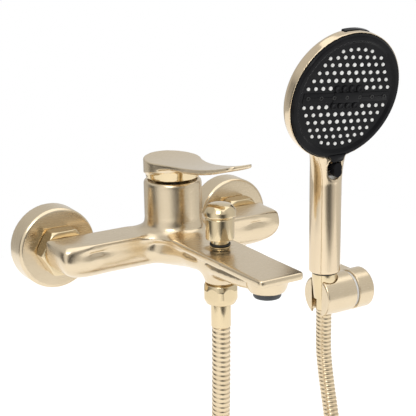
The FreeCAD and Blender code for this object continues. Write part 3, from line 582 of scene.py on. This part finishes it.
def bar(work, half_x, half_y, low, high, edge):
    """Flat bar with a bevelled upper edge."""
    made = bmesh.ops.create_cube(work, size=1.0)["verts"]
    for vert in made:
        height = low + (vert.co.z + 0.5) * (high - low)
        vert.co = Vector((vert.co.x * 2 * half_x, vert.co.y * 2 * half_y, height))
    sides = {e for v in made for e in v.link_edges if any(w.co.z > low + 1e-6 for w in e.verts)}
    bmesh.ops.bevel(work, geom=list(sides), offset=edge, segments=3, profile=0.5, affect="EDGES")


def make_face():
    white, black = nozzle_spots()
    work = bmesh.new()
    dimple_dots(work, white, NOZZLE)
    from_bmesh("nozzles", work, face_frame(), "white_silicone", "handset", "nozzle_mat")
    work = bmesh.new()
    dimple_dots(work, black, DARK_NOZZLE, segments=20)
    from_bmesh("ring_nozzles", work, face_frame(), "black_plastic", "handset")
    work = bmesh.new()
    bar(work, 42.0, 3.9, -2.0, -0.35, 0.35)
    bar(work, 41.0, 0.5, -2.0, 0.1, 0.2)
    bar(work, 13.0, 4.3, -2.0, 0.25, 0.4)
    from_bmesh("middle_band", work, face_frame(), "black_plastic", "handset", sharp=35.0)
    work = bmesh.new()
    spots = [((k - 3) * HOLE_STEP, 0.0, 1.0) for k in range(7)]
    dimple_dots(work, spots, BAND_JET, segments=16)
    from_bmesh("band_jets", work, face_frame(), "black_rubber", "handset")


make_face()


def make_tab():
    """Black tongue from the face rim down to the spray selector."""
    left = [(-8.6, 43.6), (-6.2, 41.0), (-5.0, 39.2), (-4.6, 37.7)]
    outline = left + [(-x, z) for x, z in reversed(left)]
    work = bmesh.new()
    front = [work.verts.new((x, -45.2 - (z - 37.7) * 0.10, z)) for x, z in outline]
    back = [work.verts.new((x, -40.5, z)) for x, z in outline]
    work.faces.new(front)
    work.faces.new(list(reversed(back)))
    for k in range(len(outline)):
        n = (k + 1) % len(outline)
        work.faces.new((front[n], front[k], back[k], back[n]))
    bmesh.ops.bevel(work, geom=list(work.edges), offset=0.7, segments=3, profile=0.5, affect="EDGES")
    from_bmesh("rim_tab", work, at(HAND[0], 0, 0), "black_plastic", "handset", sharp=50.0)


make_tab()
softened("jet_cap", "jet_insert", 0.3, 5, "black_plastic", "handset")
softened("selector_button", "spray_selector", 0.3, 4, "black_plastic", "selector")
CONE_PROFILE = [(5.6, 0), (8.7, 0, 0.8), (10.4, 17.0, 3.0), (10.4, 22.0), (8.35, 22.0), (8.35, 11.2, 0),
                (5.6, 11.2, 0)]
lathe("cone_fitting", CONE_PROFILE,
      at(*HAND, HANDLE_LOW - 23.4), "polished_gold", "handset", "cone_nut", closed=True)
TOP_FERRULE_PROFILE = [(4.0, 0), (6.7, 0), (6.7, 11.4), (5.5, 11.6), (5.5, 21.0), (8.0, 21.0), (8.0, 22.4),
                       (4.0, 22.4)]
lathe("hose_ferrule_top", TOP_FERRULE_PROFILE,
      at(*HAND, HANDLE_LOW - 33.2), "polished_gold", "handset", "upper_ferrule", closed=True, round_by=0.25)

# ---------------------------------------------------------------- bracket

softened("bracket_drum", "bracket_base", 0.45, 4, "brushed_gold", "faucet")
softened("bracket_clasp", "bracket_cradle", 0.4, 4, "brushed_gold", "cradle")


# ---------------------------------------------------------------- room and light

# strips of light and shade round the room: share of the way round, brightness
AROUND = [(0.0, 0.45), (0.04, 0.60), (0.09, 0.62), (0.13, 0.25), (0.165, 0.06), (0.20, 0.12), (0.25, 0.80),
          (0.31, 1.0), (0.37, 0.85), (0.42, 0.28), (0.455, 0.06), (0.49, 0.06), (0.54, 0.50), (0.60, 0.80),
          (0.70, 0.72), (0.83, 0.66), (0.91, 0.78), (0.96, 0.55)]
# light above and grey below: share of the way up, brightness
ABOVE = [(0.0, 0.18), (0.38, 0.12), (0.5, 0.0), (0.56, 0.08), (0.63, 0.48), (0.72, 0.66), (1.0, 0.68)]
ROOM_STRENGTH = 1.04
FLOOR_HALF = 1.0
FLOOR_GAP = 0.002


def make_world():
    """A plain white room to the camera, and strips of light and shade to everything else."""
    world = bpy.data.worlds.new("studio")
    world.use_nodes = True
    tree = world.node_tree
    tree.nodes.clear()
    coords = tree.nodes.new("ShaderNodeTexCoord").outputs["Generated"]
    parts = tree.nodes.new("ShaderNodeSeparateXYZ")
    tree.links.new(coords, parts.inputs[0])
    flip = tree.nodes.new("ShaderNodeMath")
    flip.operation = "MULTIPLY"
    flip.inputs[1].default_value = -1.0
    tree.links.new(parts.outputs["Y"], flip.inputs[0])
    angle = tree.nodes.new("ShaderNodeMath")
    angle.operation = "ARCTAN2"
    tree.links.new(parts.outputs["X"], angle.inputs[0])
    tree.links.new(flip.outputs[0], angle.inputs[1])
    share = tree.nodes.new("ShaderNodeMapRange")
    share.inputs["From Min"].default_value = -math.pi
    share.inputs["From Max"].default_value = math.pi
    tree.links.new(angle.outputs[0], share.inputs["Value"])
    around = tree.nodes.new("ShaderNodeValToRGB")
    around.color_ramp.interpolation = "B_SPLINE"
    fill_ramp(around, AROUND)
    tree.links.new(share.outputs["Result"], around.inputs["Fac"])
    above = tree.nodes.new("ShaderNodeValToRGB")
    fill_ramp(above, ABOVE)
    height = tree.nodes.new("ShaderNodeMapRange")
    height.inputs["From Min"].default_value = -1.0
    tree.links.new(parts.outputs["Z"], height.inputs["Value"])
    tree.links.new(height.outputs["Result"], above.inputs["Fac"])
    both = tree.nodes.new("ShaderNodeMix")
    both.data_type = "RGBA"
    both.blend_type = "LIGHTEN"
    both.inputs[0].default_value = 1.0
    tree.links.new(around.outputs["Color"], both.inputs[6])
    tree.links.new(above.outputs["Color"], both.inputs[7])
    room = tree.nodes.new("ShaderNodeBackground")
    room.inputs["Strength"].default_value = ROOM_STRENGTH
    tree.links.new(both.outputs[2], room.inputs["Color"])
    plain = tree.nodes.new("ShaderNodeBackground")
    plain.inputs["Color"].default_value = (1.0, 1.0, 1.0, 1.0)
    plain.inputs["Strength"].default_value = 1.0
    seen = tree.nodes.new("ShaderNodeLightPath")
    pick = tree.nodes.new("ShaderNodeMixShader")
    tree.links.new(seen.outputs["Is Camera Ray"], pick.inputs[0])
    tree.links.new(room.outputs[0], pick.inputs[1])
    tree.links.new(plain.outputs[0], pick.inputs[2])
    out = tree.nodes.new("ShaderNodeOutputWorld")
    tree.links.new(pick.outputs[0], out.inputs["Surface"])
    SCENE.world = world


def fill_ramp(node, stops):
    marks = node.color_ramp.elements
    while len(marks) > 1:
        marks.remove(marks[-1])
    for index, (position, value) in enumerate(stops):
        mark = marks[0] if index == 0 else marks.new(position)
        mark.position = position
        mark.color = (value, value, value, 1.0)


def soft_light(name, place, aim, size, power):
    data = bpy.data.lights.new(name, "AREA")
    data.shape = "RECTANGLE"
    data.size, data.size_y = size
    data.energy = power
    item = add(name, data)
    item.location = place
    item.rotation_mode = "QUATERNION"
    item.rotation_quaternion = (Vector(place) - Vector(aim)).to_track_quat("Z", "Y")


def make_floor():
    mesh = bpy.data.meshes.new("floor")
    low = cad_box[0][2] - FLOOR_GAP
    corners = [(-FLOOR_HALF, -FLOOR_HALF, low), (FLOOR_HALF, -FLOOR_HALF, low), (FLOOR_HALF, FLOOR_HALF, low),
               (-FLOOR_HALF, FLOOR_HALF, low)]
    mesh.from_pydata(corners, [], [(0, 1, 2, 3)])
    floor = add("floor", mesh)
    n = Nodes("floor_paint")
    patches = n.spread(n.noise(9.0), 0.35, 0.68, 0.0, 1.0)
    n.put("Base Color", n.mix(patches, (0.90, 0.90, 0.90), (0.89, 0.89, 0.89)))
    n.put("Roughness", 0.9)
    n.put("Emission Color", (1.0, 1.0, 1.0))
    n.put("Emission Strength", 0.30)
    mesh.materials.append(n.material)


make_world()
make_floor()
soft_light("key", (-1.1, -1.2, 1.3), (0.05, -0.06, 0.0), (0.9, 0.9), 9.0)
soft_light("top", (0.2, -0.2, 1.6), (0.05, -0.06, 0.0), (2.4, 2.0), 12.0)
SCENE.view_settings.view_transform = "Standard"
